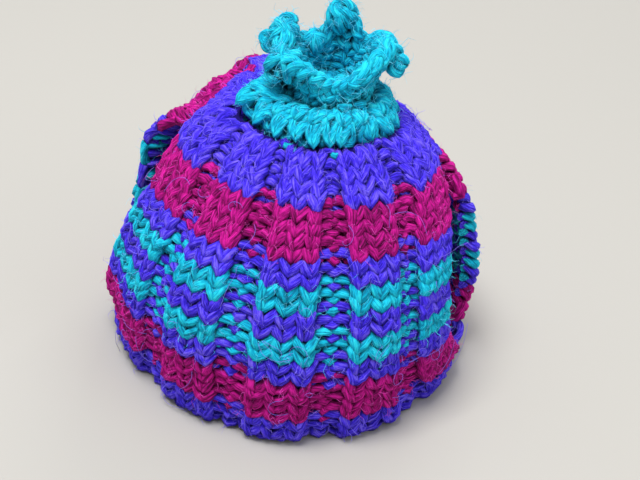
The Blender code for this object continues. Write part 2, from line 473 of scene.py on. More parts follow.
STRIPES: Tuple[Tuple[Dye, int], ...] = (
    # dye and rows, from the hem up
    (Dye.VIOLET, 2),
    (Dye.MAGENTA, 4),
    (Dye.VIOLET, 2),
    (Dye.TEAL, 2),
    (Dye.VIOLET, 2),
    (Dye.TEAL, 2),
    (Dye.VIOLET, 2),
    (Dye.MAGENTA, 4),
    (Dye.VIOLET, 4),
)

# Where the knitting is gathered into the collar.
CROWN_JOINT = np.array([
    # angle  radius
    (-180.0, 28.0),
    (-140.0, 26.5),
    (-105.0, 26.0),
    (-84.0, 30.0),
    (-62.0, 34.2),
    (-35.0, 33.6),
    (0.0, 34.0),
    (40.0, 34.4),
    (83.0, 36.5),
    (119.0, 31.5),
    (150.0, 29.0),
    (180.0, 28.0),
])
GATHER_RISE = 0.42
GATHER_FROM = 16.0

PUCKERS: Tuple[Tuple[float, float, float, float], ...] = (
    # depth mm, waves round, turn for each mm of height, start
    (0.8, 3, 0.045, 0.6),
    (0.5, 5, -0.07, 2.1),
)

# The full shoulder of the back panel beside the collar, on the spout side.
SHOULDER_ANGLE = 218.0
SHOULDER_WIDTH = 29.0
SHOULDER_OUT = 8.5
SHOULDER_ROWS = (13.5, 20.0)
SHOULDER_FADE = 2.6           # rows over which it dies away under the collar

COLLAR_OUTLINE = np.array([
    # share width rise
    (0.00, 0.00, 0.00),
    (0.25, 0.16, 0.42),
    (0.50, 0.42, 0.72),
    (0.75, 0.72, 0.88),
    (1.00, 1.00, 1.00),
])

FLOWER_CENTRE = (6.0, -2.0)

FLOWER_OUTLINE = np.array([
    # share radius height
    (-1.00, 2.0, 119.6),
    (-0.66, 15.5, 120.4),
    (-0.33, 16.4, 123.8),
    (0.00, 17.0, 127.0),
])

PETALS = np.array([
    # angle  half  radius height roll
    (4.0, 78.0, 22.5, 142.0, 6.2),
    (84.0, 44.0, 16.5, 149.0, 6.4),
    (128.0, 24.0, 16.0, 138.5, 4.6),
    (166.0, 40.0, 23.5, 143.0, 6.0),
    (208.0, 70.0, 23.5, 137.0, 7.2),
])

Surface = Callable[[np.ndarray, np.ndarray], np.ndarray]


def joint_radius(angle: np.ndarray) -> np.ndarray:
    """Radius in millimetres at which the knitting meets the collar, for angles in degrees."""
    wrapped = (np.asarray(angle, float) + 180.0) % 360.0 - 180.0
    return along_table(CROWN_JOINT, wrapped)[:, 0]


def shoulder(angle: np.ndarray, row: np.ndarray) -> np.ndarray:
    """How far the full shoulder swells.

    Args:
        angle: degrees round the body.
        row: rows up the cloth.

    Returns:
        Swell in millimetres.
    """
    off = (np.asarray(angle) - SHOULDER_ANGLE + 180.0) % 360.0 - 180.0
    low, high = SHOULDER_ROWS
    fade = smooth_step((BODY_OUTLINE[-1, 0] - row) / SHOULDER_FADE)
    swell = smooth_step((row - low) / (high - low)) * fade
    return SHOULDER_OUT * np.exp(-((off / SHOULDER_WIDTH) ** 2)) * swell


def off_surface(
    surface: Surface, u: np.ndarray, v: np.ndarray, depth: np.ndarray, step: float = 0.02
) -> np.ndarray:
    """Points a given depth out from a surface.

    Args:
        surface: point on the outer face for (u, v), in millimetres.
        u: place across the cloth.
        v: place up the cloth.
        depth: millimetres out of the face, negative into the cloth.
        step: half the distance over which the slope is read.

    Returns:
        Points in metres, one row each.
    """
    here = surface(u, v)
    across = surface(u + step, v) - surface(u - step, v)
    up = surface(u, v + step) - surface(u, v - step)
    normal = np.cross(across, up)
    normal /= np.maximum(np.linalg.norm(normal, axis=1), 1e-9)[:, None]
    return (here + normal * depth[:, None]) * MM


@dataclass
class PanelForm:
    """Shape of one knitted panel over the pot, in stitches across and rows up."""

    edges: np.ndarray
    inner_ribs: Tuple[float, float, float]
    outer_share: Tuple[float, float]
    stitches: int = 25
    rows: int = 24
    rib_repeat: int = 5
    rib_relief: float = 3.6
    curl_width: float = 16.0
    seam_gap: float = 0.5
    rib_centres: Tuple[float, ...] = (2.5, 7.5, 12.5, 17.5, 22.5)
    settle: Tuple[float, float] = (0.82, 0.90)  # how far the outer ribs slide to the edges
    valley_span: Tuple[float, float] = (0.50, 0.34)  # where a rib's side starts, and its width
    pull: float = 0.0         # rows by which the cloth is drawn up on one side
    pull_angle: float = 235.0
    pull_width: float = 40.0

    def drawn_up(self, angle: np.ndarray, v: np.ndarray) -> np.ndarray:
        """Place up the body of each row, where the gathering has drawn the cloth up.

        Args:
            angle: degrees round the body.
            v: rows up the cloth.

        Returns:
            Rows up the body's outline.
        """
        near = np.exp(-(((angle - self.pull_angle) / self.pull_width) ** 2))
        rise = smooth_step(v / 20.0) * smooth_step((self.rows + 0.6 - v) / 5.0)
        return v + self.pull * near * rise

    def angles(self, u: np.ndarray, start: np.ndarray, end: np.ndarray) -> np.ndarray:
        """Angle round the body of each stitch place, the ribs spaced as they settle.

        Args:
            u: stitches across the cloth.
            start: angle of the panel's first edge at each place.
            end: angle of its last edge at each place.

        Returns:
            Degrees round the body.
        """
        inner = self.inner_ribs
        first = inner[0] + (start - inner[0]) * self.outer_share[0] * self.settle[0]
        last = inner[2] + (end - inner[2]) * self.outer_share[1] * self.settle[1]
        same = np.ones_like(start)
        knots = np.stack([start, first, *(same * a for a in inner), last, end])
        places = np.array((0.0,) + self.rib_centres + (float(self.stitches),))
        i = np.clip(np.searchsorted(places, u) - 1, 0, len(places) - 2)
        t = (u - places[i]) / (places[i + 1] - places[i])
        k = np.arange(len(u))
        return knots[i, k] * (1 - t) + knots[i + 1, k] * t

    def __call__(self, u: np.ndarray, v: np.ndarray) -> np.ndarray:
        """Point on the outer face.

        Args:
            u: stitches across the cloth.
            v: rows up the cloth.

        Returns:
            Points in millimetres, one row each.
        """
        u = np.asarray(u, float)
        v = np.asarray(v, float)
        if self.pull:
            start, end = along_table(self.edges, v).T[:2]
            v = self.drawn_up(self.angles(u, start, end), v)
        radius, height = along_table(BODY_OUTLINE, v).T
        start, end, flare_start, flare_end = along_table(self.edges, v).T
        seam = np.degrees(self.seam_gap * 0.5 / radius)
        start = start + seam
        end = end - seam
        angle = self.angles(u, start, end)
        turn_start = np.clip(1 - np.radians(angle - start) * radius / self.curl_width, 0, 1.4)
        turn_end = np.clip(1 - np.radians(end - angle) * radius / self.curl_width, 0, 1.4)
        radius = radius + flare_start * turn_start**2 + flare_end * turn_end**2
        fade = smooth_step((self.rows - v) / 5)
        across = (u - self.rib_centres[0]) / self.rib_repeat
        turn = np.abs(across - np.round(across)) * 2
        side, wide = self.valley_span
        valley = smooth_step((turn - side) / wide)
        valley = np.where((u < self.rib_centres[0]) | (u > self.rib_centres[-1]), 0.0, valley)
        radius = radius - self.rib_relief * valley * (0.45 + 0.55 * fade)
        a = np.radians(angle)
        puckers = sum(
            deep * np.sin(waves * a + climb * height + start_at)
            for deep, waves, climb, start_at in PUCKERS
        )
        share = np.clip((v - GATHER_FROM) / (self.rows - GATHER_FROM), 0, None) ** 1.6
        drawn = (joint_radius(angle) - BODY_OUTLINE[-1, 1]) * share
        swell = shoulder(angle, v)
        radius = radius + puckers * fade + drawn + 0.6 * swell
        height = height - drawn * GATHER_RISE + 0.8 * swell
        return np.stack([radius * np.sin(a), -radius * np.cos(a), height], axis=1)


@dataclass
class CollarForm:
    """Shape of the collar: u in turns round the body, v from the knitting (0) to the neck (1)."""

    inner_radius: float = 17.7
    top: float = 123.8
    gap: float = 0.9
    inset: float = 2.8        # the yarn's middle line lies this far inside the collar's edge
    reach_over: float = 17.0  # mm of knitting covered for each unit of v below 0
    flap_angle: float = -68.0
    flap_width: float = 14.0
    flap_out: float = 4.6
    flap_up: float = 4.4
    tuck_width: float = 38.0  # the edge draws in on both sides of the flap
    tuck_in: float = 5.2
    overhang_drop: float = 0.7   # fall for each mm that a loop reaches over the knitting

    def __call__(self, u: np.ndarray, v: np.ndarray) -> np.ndarray:
        """Point on the outer face.

        Args:
            u: turns round the body.
            v: 0 at the knitting, 1 at the neck.

        Returns:
            Points in millimetres, one row each.
        """
        a = np.asarray(u, float) * 2 * np.pi
        v = np.asarray(v, float)
        angle = (np.degrees(a) + 180.0) % 360.0 - 180.0
        joint = joint_radius(angle)
        foot = BODY_OUTLINE[-1, 2] + (BODY_OUTLINE[-1, 1] - joint) * GATHER_RISE + self.gap
        width, rise = along_table(COLLAR_OUTLINE, np.clip(v, 0, 1)).T
        over = np.clip(-v, 0, None) * self.reach_over
        off = angle - self.flap_angle
        flap = np.exp(-((off / self.flap_width) ** 2)) * (1 - width)
        tuck = np.exp(-((off / self.tuck_width) ** 2)) * (1 - width)
        edge = joint - self.gap - self.inset + over + self.flap_out * flap - self.tuck_in * tuck
        centre_x, centre_y = FLOWER_CENTRE
        inner_x = centre_x + self.inner_radius * np.sin(a)
        inner_y = centre_y - self.inner_radius * np.cos(a)
        middle = 4 * width * (1 - width)
        wave = (0.7 * np.sin(11 * a) + 0.8 * np.sin(4 * a + 1.0)) * middle
        x = edge * np.sin(a) * (1 - width) + inner_x * width
        y = -edge * np.cos(a) * (1 - width) + inner_y * width
        foot = foot + 0.6 * self.inset
        z = foot + (self.top - foot) * rise + wave - over * self.overhang_drop + self.flap_up * flap
        return np.stack([x, y, z], axis=1)


@dataclass
class FlowerForm:
    """Shape of the flower: u in turns round it, v from the foot (-1) by the neck (0) to the rim (1)."""

    notch_radius: float = 16.6
    notch_height: float = 131.6
    fullness: float = 1.12

    def rim(self, u: np.ndarray) -> Tuple[np.ndarray, np.ndarray]:
        """Where the rim runs.

        Args:
            u: turns round the flower.

        Returns:
            Radius and height in millimetres at each place.
        """
        angle = np.asarray(u, float) * 360.0
        radius = np.full_like(angle, self.notch_radius)
        height = np.full_like(angle, self.notch_height)
        for petal, half, tip_radius, tip_height, _ in PETALS:
            off = np.abs((angle - petal + 180) % 360 - 180)
            part = smooth_step((1 - off / half) * self.fullness)
            radius = np.maximum(radius, self.notch_radius + (tip_radius - self.notch_radius) * part)
            height = np.maximum(height, self.notch_height + (tip_height - self.notch_height) * part)
        return radius, height

    def __call__(self, u: np.ndarray, v: np.ndarray) -> np.ndarray:
        """Point on the outer face.

        Args:
            u: turns round the flower.
            v: -1 at the foot, 0 at the neck, 1 at the rim.

        Returns:
            Points in millimetres, one row each.
        """
        a = np.asarray(u, float) * 2 * np.pi
        v = np.asarray(v, float)
        low_radius, low_height = along_table(FLOWER_OUTLINE, np.clip(v, -1, 0)).T
        rim_radius, rim_height = self.rim(u)
        t = np.clip(v, 0, None)
        radius = low_radius + (rim_radius - FLOWER_OUTLINE[-1, 1]) * t**1.25
        height = low_height + (rim_height - FLOWER_OUTLINE[-1, 2]) * t
        centre_x, centre_y = FLOWER_CENTRE
        x = centre_x + radius * np.cos(a)
        y = centre_y + radius * np.sin(a)
        return np.stack([x, y, height], axis=1)


# --------------------------------------------------------------------------
# Laying yarn into stitches
# --------------------------------------------------------------------------


@dataclass
class Gauge:
    """How one stitch lies: sizes of the loop the yarn makes."""

    reach: float = 1.03       # half a knit loop's height, in row pitches
    purl_reach: float = 0.80  # the same for a purl loop
    swing: float = 0.335      # how far the loop bellies sideways, in stitch widths
    depth: float = 2.45       # half the loop's travel through the cloth, mm
    sink: float = 4.3         # centre of the cloth below its outer face, mm
    samples: int = 16         # points along one stitch
    unevenness: float = 1.75
    reach_slip: float = 0.05  # how much one stitch differs from the next, for unevenness 1
    swing_slip: float = 0.08
    side_slip: float = 0.018
    row_slip: float = 0.03
    depth_slip: float = 0.12
    slope_step: float = 0.02  # half the distance over which the cloth's slope is read


@dataclass
class Strand:
    """One length of yarn: its centreline, and whether it closes on itself."""

    points: np.ndarray
    closed: bool = False


@dataclass
class Needles:
    """Lays strands of stitches on a surface, with the small slips of a hand knitter."""

    gauge: Gauge
    rng: np.random.Generator

    def course(
        self,
        surface: Surface,
        stitches: Sequence[Tuple[Face, float, float]],
        row: float,
        pitch: float = 1.0,
        closed: bool = False,
        turn: int = 0,
    ) -> Strand:
        """One course of stitches.

        Args:
            surface: outer face of the cloth for (u, v).
            stitches: face, start and end place across the cloth of each stitch.
            row: height of the course's middle, in v.
            pitch: v between one course and the next.
            closed: True for a round that joins its own start.
            turn: 1 or -1 to turn up to the next course after the end or the start.

        Returns:
            The strand of the whole course.
        """
        g = self.gauge
        t = np.linspace(0, 2 * np.pi, g.samples, endpoint=False)
        us, vs, ds = [], [], []
        count = len(stitches)
        for k, (face, start, end) in enumerate(stitches):
            before = stitches[k - 1][0] if (k or closed) else face
            after = stitches[(k + 1) % count][0] if (k < count - 1 or closed) else face
            width = end - start
            slip = self.rng.normal(0, 1, 4) * g.unevenness
            knit = face is Face.KNIT
            reach = (g.reach if knit else g.purl_reach) * (1 + g.reach_slip * slip[0])
            swing = g.swing * (1.0 if knit else 0.75) * (1 + g.swing_slip * slip[1])
            sign = np.full_like(t, face.value)
            near_start = np.clip(t / (np.pi / 3), 0, 1) * 0.5 + 0.5
            near_end = np.clip((2 * np.pi - t) / (np.pi / 3), 0, 1) * 0.5 + 0.5
            sign = before.value * (1 - near_start) + sign * near_start
            sign = sign * near_end + after.value * (1 - near_end)
            along = t / (2 * np.pi) + swing * np.sin(2 * t) + g.side_slip * slip[2]
            us.append(start + width * along)
            vs.append(row - pitch * reach * np.cos(t) + g.row_slip * pitch * slip[3])
            ds.append(-g.sink - g.depth * sign * np.cos(2 * t) + g.depth_slip * slip[1])
        u = np.concatenate(us)
        v = np.concatenate(vs)
        d = np.concatenate(ds)
        if turn:
            ease = np.linspace(0, np.pi, 9)[1:-1]
            side = stitches[-1][2] if turn > 0 else stitches[0][1]
            bend_u = side + turn * 0.12 * np.sin(ease)
            bend_v = row - pitch * g.reach * np.cos(ease) * 0.9
            bend_d = np.full_like(ease, -g.sink)
            if turn > 0:
                u = np.concatenate([u, bend_u])
                v = np.concatenate([v, bend_v])
                d = np.concatenate([d, bend_d])
            else:
                u = np.concatenate([bend_u[::-1], u])
                v = np.concatenate([bend_v[::-1], v])
                d = np.concatenate([bend_d[::-1], d])
        return Strand(off_surface(surface, u, v, d, g.slope_step), closed)


@dataclass
class Spinner:
    """Spins centrelines into plied yarn with one Geometry Nodes tree."""

    radius: float = 2.05
    plies: int = 3
    lobe: float = 0.16
    sides: int = 10
    twist_length: float = 46.0

    def profile(
        self, tree: bpy.types.NodeTree, give: bpy.types.bpy_prop_collection
    ) -> bpy.types.NodeSocket:
        """The strand's outline across: a ring with one lobe for each ply.

        Args:
            tree: the tree to add to.
            give: sockets of the tree's inputs.

        Returns:
            The outline, marked with its own angle.
        """
        ring = add_node(
            tree,
            "GeometryNodeCurvePrimitiveCircle",
            {"mode": "RADIUS"},
            Resolution=give["Sides"],
            Radius=give["Radius"],
        )
        share = add_node(tree, "GeometryNodeSplineParameter").outputs["Factor"]
        angle = add_node(tree, "ShaderNodeMath", {"operation": "MULTIPLY", 1: math.tau}, _0=share)
        lobes = add_node(
            tree, "ShaderNodeMath", {"operation": "MULTIPLY"}, _0=angle.outputs[0], _1=give["Plies"]
        )
        wave = add_node(tree, "ShaderNodeMath", {"operation": "COSINE"}, _0=lobes.outputs[0])
        swell = add_node(
            tree,
            "ShaderNodeMath",
            {"operation": "MULTIPLY_ADD", 2: 1.0},
            _0=wave.outputs[0],
            _1=give["Lobe"],
        )
        spot = add_node(tree, "GeometryNodeInputPosition").outputs[0]
        lobed = add_node(
            tree, "ShaderNodeVectorMath", {"operation": "SCALE"}, Vector=spot, Scale=swell.outputs[0]
        )
        shaped = add_node(
            tree, "GeometryNodeSetPosition", Geometry=ring.outputs[0], Position=lobed.outputs[0]
        )
        marked = add_node(
            tree,
            "GeometryNodeStoreNamedAttribute",
            {"data_type": "FLOAT", "domain": "POINT", "Name": "around"},
            Geometry=shaped.outputs["Geometry"],
            Value=angle.outputs[0],
        )
        return marked.outputs["Geometry"]

    def twisted(
        self, tree: bpy.types.NodeTree, give: bpy.types.bpy_prop_collection
    ) -> bpy.types.NodeSocket:
        """The strands' middle lines, turning along their length, a little thick and thin.

        Args:
            tree: the tree to add to.
            give: sockets of the tree's inputs.

        Returns:
            The lines, marked with the length along them.
        """
        line = add_node(tree, "GeometryNodeMeshToCurve", Mesh=give["Geometry"]).outputs["Curve"]
        length = add_node(tree, "GeometryNodeSplineParameter").outputs["Length"]
        turns = add_node(
            tree, "ShaderNodeMath", {"operation": "DIVIDE"}, _0=length, _1=give["Twist Length"]
        )
        angle = add_node(
            tree, "ShaderNodeMath", {"operation": "MULTIPLY", 1: math.tau}, _0=turns.outputs[0]
        )
        tilted = add_node(tree, "GeometryNodeSetCurveTilt", Curve=line, Tilt=angle.outputs[0])
        slub = add_node(
            tree,
            "FunctionNodeRandomValue",
            {"data_type": "FLOAT", 2: 0.95, 3: 1.05},
            ID=add_node(tree, "GeometryNodeInputIndex").outputs[0],
            Seed=give["Seed"],
        )
        smooth_slub = add_node(
            tree,
            "GeometryNodeBlurAttribute",
            {"data_type": "FLOAT", "Iterations": 4},
            _0=slub.outputs[1],
        )
        thick = add_node(
            tree,
            "GeometryNodeSetCurveRadius",
            Curve=tilted.outputs["Curve"],
            Radius=smooth_slub.outputs[0],
        )
        marked = add_node(
            tree,
            "GeometryNodeStoreNamedAttribute",
            {"data_type": "FLOAT", "domain": "POINT", "Name": "along"},
            Geometry=thick.outputs["Curve"],
            Value=length,
        )
        return marked.outputs["Geometry"]

    def tree(self) -> bpy.types.NodeTree:
        """The yarn tree: a lobed profile swept along each line, turning slowly."""
        found = bpy.data.node_groups.get("plied_yarn")
        if found:
            return found
        inputs = {
            "Radius": "Float",
            "Lobe": "Float",
            "Plies": "Float",
            "Sides": "Int",
            "Twist Length": "Float",
            "Seed": "Int",
            "Wool": "Material",
        }
        tree = new_tree("plied_yarn", inputs)
        give = add_node(tree, "NodeGroupInput").outputs
        tube = add_node(
            tree,
            "GeometryNodeCurveToMesh",
            {"Fill Caps": True},
            Curve=self.twisted(tree, give),
            Profile_Curve=self.profile(tree, give),
        )
        along, around = (
            add_node(
                tree, "GeometryNodeInputNamedAttribute", {"data_type": "FLOAT", "Name": name}
            ).outputs[0]
            for name in ("along", "around")
        )
        cosine = add_node(tree, "ShaderNodeMath", {"operation": "COSINE"}, _0=around)
        sine = add_node(tree, "ShaderNodeMath", {"operation": "SINE"}, _0=around)
        fibre = add_node(
            tree, "ShaderNodeCombineXYZ", X=along, Y=cosine.outputs[0], Z=sine.outputs[0]
        )
        stored = add_node(
            tree,
            "GeometryNodeStoreNamedAttribute",
            {"data_type": "FLOAT_VECTOR", "domain": "POINT", "Name": "fibre"},
            Geometry=tube.outputs["Mesh"],
            Value=fibre.outputs[0],
        )
        soft = add_node(tree, "GeometryNodeSetShadeSmooth", Geometry=stored.outputs["Geometry"])
        finish_tree(tree, soft.outputs["Geometry"], give["Wool"])
        return tree

    def spin(
        self, name: str, strands: Sequence[Strand], wool: bpy.types.Material, radius: float = 0.0
    ) -> bpy.types.Object:
        """Turn strands into one piece of yarn.

        Args:
            name: name of the piece.
            strands: centrelines to sweep.
            wool: finish of the yarn.
            radius: yarn radius in millimetres, or 0 for this spinner's own.

        Returns:
            The finished mesh object, at the origin.
        """
        points: List[np.ndarray] = []
        edges: List[Tuple[int, int]] = []
        start = 0
        for strand in strands:
            count = len(strand.points)
            points.append(strand.points)
            edges += [(start + i, start + i + 1) for i in range(count - 1)]
            if strand.closed:
                edges.append((start + count - 1, start))
            start += count
        line = bpy.data.meshes.new(name + "_line")
        line.from_pydata(np.concatenate(points).tolist(), edges, [])
        values = {
            "Radius": (radius or self.radius) * MM,
            "Lobe": self.lobe,
            "Plies": float(self.plies),
            "Sides": self.sides,
            "Twist Length": self.twist_length * MM,
            "Seed": SEED,
            "Wool": wool,
        }
        return bake(lay(name, line), self.tree(), values)


def bake(holder: bpy.types.Object, tree: bpy.types.NodeTree, values: Dict) -> bpy.types.Object:
    """Run a tree on an object and keep what it makes as a plain mesh.

    Args:
        holder: the object the tree works on.
        tree: the Geometry Nodes tree.
        values: input name to value.

    Returns:
        The same object with the made mesh and no modifier.
    """
    modifier = holder.modifiers.new(tree.name, "NODES")
    modifier.node_group = tree
    for item in tree.interface.items_tree:
        if item.in_out == "INPUT" and item.name in values:
            modifier[item.identifier] = values[item.name]
    holder.update_tag()
    bpy.context.view_layer.update()
    graph = bpy.context.evaluated_depsgraph_get()
    made = bpy.data.meshes.new_from_object(holder.evaluated_get(graph))
    places = np.empty(len(made.vertices) * 3, dtype=np.float32)
    made.vertices.foreach_get("co", places)
    places[2::3] = np.maximum(places[2::3], TABLE_CLEARANCE * MM)
    made.vertices.foreach_set("co", places)
    old = holder.data
    holder.modifiers.remove(modifier)
    holder.data = made
    bpy.data.meshes.remove(old)
    made.name = holder.name
    return holder


# --------------------------------------------------------------------------
# Loose fibres
# --------------------------------------------------------------------------


@dataclass
class Halo:
    """Loose fibres that stand off the yarn, scattered by one Geometry Nodes tree."""

    length: float = 5.0       # a middling fibre, mm
    thickness: float = 0.086  # fibre radius at its root, mm
    lean: float = 1.9         # how far fibres lie over, against 1 for straight out
    variants: int = 5

    def fibre(self, index: int, rng: np.random.Generator) -> bpy.types.Object:
        """One curly tapered fibre, standing on the origin along Z.

        Args:
            index: number of the shape.
            rng: source of its curl.

        Returns:
            The fibre, not yet in any collection.
        """
        rings, sides = 4, 3
        t = np.linspace(0, 1, rings)
        curl = rng.uniform(0.8, 2.4)
        start = rng.uniform(0, math.tau)
        side = self.length * rng.uniform(0.25, 0.55)
        x = side * t**1.6 * np.cos(start + curl * 2.2 * t)
        y = side * t**1.6 * np.sin(start + curl * 2.2 * t)
        z = self.length * (t - 0.34 * t**2.4 * rng.uniform(0.4, 1.5)) - 0.3
        points, faces = [], []
        for k in range(rings):
            radius = self.thickness * (1 - 0.75 * t[k])
            for j in range(sides):
                a = math.tau * j / sides
                points.append(
                    ((x[k] + radius * math.cos(a)) * MM, (y[k] + radius * math.sin(a)) * MM, z[k] * MM)
                )
        for k in range(rings - 1):
            for j in range(sides):
                a, b = k * sides + j, k * sides + (j + 1) % sides
                faces.append((a, b, b + sides, a + sides))
        faces.append((2, 1, 0))
        top = (rings - 1) * sides
        faces.append((top, top + 1, top + 2))
        mesh = bpy.data.meshes.new(f"fibre_{index}")
        mesh.from_pydata(points, [], faces)
        return bpy.data.objects.new(f"fibre_{index}", mesh)

    def tree(self) -> bpy.types.NodeTree:
        """The scatter tree: points on the yarn, a fibre on each, leaning at random."""
        found = bpy.data.node_groups.get("loose_fibres")
        if found:
            return found
        inputs = {
            "Density": "Float",
            "Lean": "Float",
            "Seed": "Int",
            "Fibres": "Collection",
            "Wool": "Material",
        }
        tree = new_tree("loose_fibres", inputs)
        give = add_node(tree, "NodeGroupInput").outputs
        spots = add_node(
            tree,
            "GeometryNodeDistributePointsOnFaces",
            Mesh=give["Geometry"],
            Density=give["Density"],
            Seed=give["Seed"],
        )
        loose = add_node(
            tree,
            "FunctionNodeRandomValue",
            {"data_type": "FLOAT_VECTOR", 0: (-1.0, -1.0, -1.0), 1: (1.0, 1.0, 1.0)},
            Seed=give["Seed"],
        )
        leaning = add_node(
            tree,
            "ShaderNodeVectorMath",
            {"operation": "SCALE"},
            Vector=loose.outputs["Value"],
            Scale=give["Lean"],
        )
        aim = add_node(
            tree,
            "ShaderNodeVectorMath",
            {"operation": "ADD"},
            _0=spots.outputs["Normal"],
            _1=leaning.outputs["Vector"],
        )
        turned = add_node(
            tree, "FunctionNodeAlignRotationToVector", {"axis": "Z"}, Vector=aim.outputs["Vector"]
        )
        size = add_node(
            tree,
            "FunctionNodeRandomValue",
            {"data_type": "FLOAT", 2: 0.45, 3: 1.5},
            Seed=give["Seed"],
        )
        kinds = add_node(
            tree,
            "GeometryNodeCollectionInfo",
            {"transform_space": "ORIGINAL", "Separate Children": True, "Reset Children": True},
            Collection=give["Fibres"],
        )
        placed = add_node(
            tree,
            "GeometryNodeInstanceOnPoints",
            {"Pick Instance": True},
            Points=spots.outputs["Points"],
            Instance=kinds.outputs["Instances"],
            Rotation=turned.outputs["Rotation"],
            Scale=size.outputs[1],
        )
        finish_tree(tree, placed.outputs["Instances"], give["Wool"])
        return tree

    def kinds(self) -> bpy.types.Collection:
        """The fibre shapes the tree picks from."""
        rng = np.random.default_rng(SEED + 9)
        box = bpy.data.collections.new("fibre_shapes")
        for index in range(self.variants):
            box.objects.link(self.fibre(index, rng))
        return box

    def clear(self, box: bpy.types.Collection) -> None:
        """Remove the fibre shapes once every halo is made.

        Args:
            box: the fibre shapes.
        """
        for shape in list(box.objects):
            mesh = shape.data
            bpy.data.objects.remove(shape)
            bpy.data.meshes.remove(mesh)
        bpy.data.collections.remove(box)

    def grow(
        self,
        yarn: bpy.types.Object,
        count: int,
        fibre: bpy.types.Material,
        box: bpy.types.Collection,
        seed: int,
    ) -> bpy.types.Object:
        """Grow loose fibres on one piece of yarn.

        Args:
            yarn: the piece the fibres stand on.
            count: about how many fibres.
            fibre: finish of the fibres.
            box: the fibre shapes to pick from.
            seed: scatter seed.

        Returns:
            The fibres as one mesh object.
        """
        area = sum(face.area for face in yarn.data.polygons)
        holder = lay(yarn.name.replace("_yarn", "_fuzz"), yarn.data.copy())
        values = {
            "Density": count / area,
            "Lean": self.lean,
            "Seed": seed,
            "Fibres": box,
            "Wool": fibre,
        }
        return bake(holder, self.tree(), values)


@dataclass
class Basket:
    """What every part of the work is made with: finishes, spinner and loose fibres."""

    palette: Palette = field(default_factory=Palette)
    spinner: Spinner = field(default_factory=Spinner)
    halo: Halo = field(default_factory=Halo)
    shapes: Optional[bpy.types.Collection] = None

    def lay_out(self) -> "Basket":
        """Lay out the fibre shapes."""
        self.shapes = self.halo.kinds()
        return self

    def put_away(self) -> None:
        """Put the fibre shapes away."""
        self.halo.clear(self.shapes)

    def yarn(
        self, name: str, strands: Sequence[Strand], dye: Dye, radius: float = 0.0
    ) -> bpy.types.Object:
        """Spin strands in one dye.

        Args:
            name: name of the piece.
            strands: centrelines of the yarn.
            dye: dye lot.
            radius: yarn radius in millimetres, or 0 for the spinner's own.

        Returns:
            The yarn as one mesh object.
        """
        return self.spinner.spin(name, strands, self.palette.wool[dye], radius)

    def fuzz(self, yarn: bpy.types.Object, count: int, dye: Dye, seed: int) -> bpy.types.Object:
        """Grow loose fibres of one dye on a piece of yarn.

        Args:
            yarn: the piece they stand on.
            count: about how many.
            dye: dye lot.
            seed: scatter seed.

        Returns:
            The fibres as one mesh object.
        """
        return self.halo.grow(yarn, count, self.palette.fibre[dye], self.shapes, seed)


@dataclass(frozen=True)
class Sheet:
    """How one piece of cloth lies: its flat size, area, and what it rests on."""

    flat: Tuple[float, float]
    area: float
    held: str
    rests_on: str

    def declare(self, cloth: bpy.types.Object, pieces: List[bpy.types.Object]) -> None:
        """Take the sheet's cloth and pieces; nothing is done with them.

        Args:
            cloth: the closed cloth; not used.
            pieces: the yarn and fibres that belong to it; not used.
        """


# --------------------------------------------------------------------------
# The knitted panels
# --------------------------------------------------------------------------


